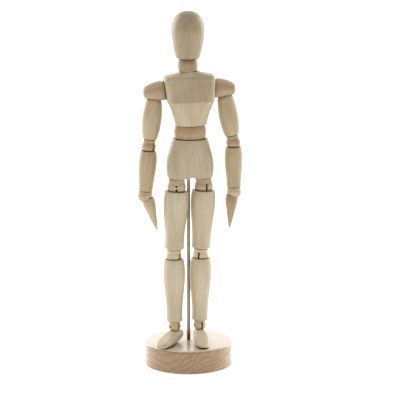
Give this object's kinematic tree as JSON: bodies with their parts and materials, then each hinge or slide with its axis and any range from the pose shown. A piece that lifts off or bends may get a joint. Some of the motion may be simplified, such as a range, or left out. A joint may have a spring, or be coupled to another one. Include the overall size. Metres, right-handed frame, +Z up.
{
  "type": "artist mannequin",
  "caption": "Jointed wooden artist mannequin standing on a steel rod over a round wooden stand.",
  "frame": {"origin": "middle of the round stand's flat underside", "axes": "+Z up through the support rod; the figure faces -Y, and its own left side is at +X"},
  "size_m": [0.0887, 0.075, 0.3042],
  "materials": {
    "body_wood": "satin",
    "arm_wood": "satin",
    "joint_wood": "satin",
    "base_wood": "satin",
    "steel_rod": "brushed",
    "steel_wire": "brushed"
  },
  "bodies": {
    "stand": {"base": "base_wood"},
    "rod": {"support_rod": "steel_rod"},
    "pelvis": {"pelvis": "body_wood", "pelvis_springs": "steel_wire"},
    "waist": {"waist": "joint_wood", "waist_pin_and_link": "steel_wire"},
    "chest": {"chest": "body_wood", "chest_springs": "steel_wire"},
    "neck": {"neck": "joint_wood", "neck_pin_and_link": "steel_wire"},
    "head": {"head": "body_wood", "head_hook": "steel_wire"},
    "left_shoulder": {"left_shoulder": "arm_wood", "left_shoulder_link": "steel_wire"},
    "left_upper_arm": {"left_upper_arm": "arm_wood", "left_upper_arm_spring": "steel_wire"},
    "left_forearm": {"left_forearm": "arm_wood", "left_forearm_spring": "steel_wire"},
    "left_thigh": {"left_thigh": "body_wood", "left_thigh_spring": "steel_wire"},
    "left_shin": {"left_shin": "body_wood", "left_shin_spring": "steel_wire"},
    "left_elbow": {"left_elbow": "joint_wood", "left_elbow_pin_and_link": "steel_wire"},
    "left_wrist": {"left_wrist": "joint_wood", "left_wrist_pin_and_link": "steel_wire"},
    "left_hip": {"left_hip": "joint_wood", "left_hip_pin_and_link": "steel_wire"},
    "left_knee": {"left_knee": "joint_wood", "left_knee_pin_and_link": "steel_wire"},
    "left_ankle": {"left_ankle": "joint_wood", "left_ankle_pin_and_link": "steel_wire"},
    "left_hand": {"left_hand": "arm_wood", "left_hand_hook": "steel_wire"},
    "left_foot": {"left_foot": "body_wood", "left_foot_hook": "steel_wire"},
    "right_shoulder": {"right_shoulder": "arm_wood", "right_shoulder_link": "steel_wire"},
    "right_upper_arm": {"right_upper_arm": "arm_wood", "right_upper_arm_spring": "steel_wire"},
    "right_forearm": {"right_forearm": "arm_wood", "right_forearm_spring": "steel_wire"},
    "right_thigh": {"right_thigh": "body_wood", "right_thigh_spring": "steel_wire"},
    "right_shin": {"right_shin": "body_wood", "right_shin_spring": "steel_wire"},
    "right_elbow": {"right_elbow": "joint_wood", "right_elbow_pin_and_link": "steel_wire"},
    "right_wrist": {"right_wrist": "joint_wood", "right_wrist_pin_and_link": "steel_wire"},
    "right_hip": {"right_hip": "joint_wood", "right_hip_pin_and_link": "steel_wire"},
    "right_knee": {"right_knee": "joint_wood", "right_knee_pin_and_link": "steel_wire"},
    "right_ankle": {"right_ankle": "joint_wood", "right_ankle_pin_and_link": "steel_wire"},
    "right_hand": {"right_hand": "arm_wood", "right_hand_hook": "steel_wire"},
    "right_foot": {"right_foot": "body_wood", "right_foot_hook": "steel_wire"}
  },
  "joints": [
    {"name": "rod_turn", "type": "hinge", "parent": "stand", "child": "rod", "pos_m": [0, 0, 0], "axis": [0, 0, 1], "continuous": true},
    {"name": "pelvis_lift", "type": "slide", "parent": "rod", "child": "pelvis", "axis": [0, 0, 1], "range_m": [0, 0.019]},
    {"name": "waist_swivel", "type": "hinge", "parent": "pelvis", "child": "waist", "pos_m": [0.0015, -0.0068, 0.20285], "axis": [0, 0, 1], "range_deg": [-45, 45]},
    {"name": "waist_bend", "type": "hinge", "parent": "waist", "child": "chest", "pos_m": [0.0015, -0.0068, 0.20285], "axis": [1, 0, 0], "range_deg": [-25, 25]},
    {"name": "neck_swivel", "type": "hinge", "parent": "chest", "child": "neck", "pos_m": [-0.00047, -0.00701, 0.25956], "axis": [-0.0347, -0.0036, 0.9994], "range_deg": [-90, 90]},
    {"name": "neck_bend", "type": "hinge", "parent": "neck", "child": "head", "pos_m": [-0.00047, -0.00701, 0.25956], "axis": [0.9939, 0.1045, 0.0349], "range_deg": [-35, 35]},
    {"name": "left_shoulder_swivel", "type": "hinge", "parent": "chest", "child": "left_shoulder", "pos_m": [0.0209, 0.00006, 0.23872], "axis": [-0.9917, -0.1042, 0.075], "range_deg": [-60, 180]},
    {"name": "left_shoulder_bend", "type": "hinge", "parent": "left_shoulder", "child": "left_upper_arm", "pos_m": [0.03157, 0.00099, 0.22753], "axis": [0, -1, 0], "range_deg": [0, 40]},
    {"name": "left_elbow_swivel", "type": "hinge", "parent": "left_upper_arm", "child": "left_elbow", "pos_m": [0.03796, 0.00099, 0.192], "axis": [-0.1771, 0, 0.9842], "range_deg": [-90, 90]},
    {"name": "left_elbow_bend", "type": "hinge", "parent": "left_elbow", "child": "left_forearm", "pos_m": [0.03796, 0.00099, 0.192], "axis": [0.1709, -0.9848, 0.0308], "range_deg": [0, 66]},
    {"name": "left_wrist_swivel", "type": "hinge", "parent": "left_forearm", "child": "left_wrist", "pos_m": [0.03862, 0.00099, 0.15], "axis": [-0.0157, 0, 0.9999], "range_deg": [-90, 90]},
    {"name": "left_wrist_bend", "type": "hinge", "parent": "left_wrist", "child": "left_hand", "pos_m": [0.03862, 0.00099, 0.15], "axis": [0, -1, 0], "range_deg": [-20, 50]},
    {"name": "left_hip_swivel", "type": "hinge", "parent": "pelvis", "child": "left_hip", "pos_m": [0.01294, -0.00437, 0.1558], "axis": [0, 0, 1], "range_deg": [-20, 60]},
    {"name": "left_hip_bend", "type": "hinge", "parent": "left_hip", "child": "left_thigh", "pos_m": [0.01294, -0.00437, 0.1558], "axis": [-0.9397, -0.342, 0], "range_deg": [0, 50]},
    {"name": "left_knee_swivel", "type": "hinge", "parent": "left_thigh", "child": "left_knee", "pos_m": [0.01045, -0.00437, 0.09625], "axis": [0.0419, 0, 0.9991], "range_deg": [-20, 20]},
    {"name": "left_knee_bend", "type": "hinge", "parent": "left_knee", "child": "left_shin", "pos_m": [0.01045, -0.00437, 0.09625], "axis": [-0.9604, 0.2756, 0.0403], "range_deg": [0, 50]},
    {"name": "left_ankle_swivel", "type": "hinge", "parent": "left_shin", "child": "left_ankle", "pos_m": [0.00959, -0.00437, 0.03496], "axis": [0.014, 0, 0.9999], "range_deg": [-15, 25]},
    {"name": "left_ankle_bend", "type": "hinge", "parent": "left_ankle", "child": "left_foot", "pos_m": [0.00959, -0.00437, 0.03496], "axis": [-0.9135, -0.4067, 0.0128], "range_deg": [0, 35]},
    {"name": "right_shoulder_swivel", "type": "hinge", "parent": "chest", "child": "right_shoulder", "pos_m": [-0.01936, -0.00417, 0.23731], "axis": [-0.9841, -0.1034, -0.1444], "range_deg": [-60, 180]},
    {"name": "right_shoulder_bend", "type": "hinge", "parent": "right_shoulder", "child": "right_upper_arm", "pos_m": [-0.02926, -0.00508, 0.2254], "axis": [0, 1, 0], "range_deg": [0, 40]},
    {"name": "right_elbow_swivel", "type": "hinge", "parent": "right_upper_arm", "child": "right_elbow", "pos_m": [-0.03328, -0.00508, 0.18952], "axis": [-0.1115, 0, -0.9938], "range_deg": [-90, 90]},
    {"name": "right_elbow_bend", "type": "hinge", "parent": "right_elbow", "child": "right_forearm", "pos_m": [-0.03328, -0.00508, 0.18952], "axis": [-0.7027, -0.7071, 0.0788], "range_deg": [-66, 0]},
    {"name": "right_wrist_swivel", "type": "hinge", "parent": "right_forearm", "child": "right_wrist", "pos_m": [-0.03658, -0.00508, 0.14765], "axis": [-0.0785, 0, -0.9969], "range_deg": [-90, 90]},
    {"name": "right_wrist_bend", "type": "hinge", "parent": "right_wrist", "child": "right_hand", "pos_m": [-0.03658, -0.00508, 0.14765], "axis": [0, -1, 0], "range_deg": [-50, 10]},
    {"name": "right_hip_swivel", "type": "hinge", "parent": "pelvis", "child": "right_hip", "pos_m": [-0.00994, -0.00923, 0.1558], "axis": [0, 0, -1], "range_deg": [-40, 60]},
    {"name": "right_hip_bend", "type": "hinge", "parent": "right_hip", "child": "right_thigh", "pos_m": [-0.00994, -0.00923, 0.1558], "axis": [-1, 0, 0], "range_deg": [0, 50]},
    {"name": "right_knee_swivel", "type": "hinge", "parent": "right_thigh", "child": "right_knee", "pos_m": [-0.01234, -0.00923, 0.09625], "axis": [-0.0401, 0, -0.9992], "range_deg": [-40, 60]},
    {"name": "right_knee_bend", "type": "hinge", "parent": "right_knee", "child": "right_shin", "pos_m": [-0.01234, -0.00923, 0.09625], "axis": [-0.6686, -0.7431, 0.0269], "range_deg": [-50, 0]},
    {"name": "right_ankle_swivel", "type": "hinge", "parent": "right_shin", "child": "right_ankle", "pos_m": [-0.01191, -0.00923, 0.03495], "axis": [0.007, 0, -1], "range_deg": [-40, 60]},
    {"name": "right_ankle_bend", "type": "hinge", "parent": "right_ankle", "child": "right_foot", "pos_m": [-0.01191, -0.00923, 0.03495], "axis": [-0.7193, -0.6947, -0.005], "range_deg": [0, 35]}
  ]
}
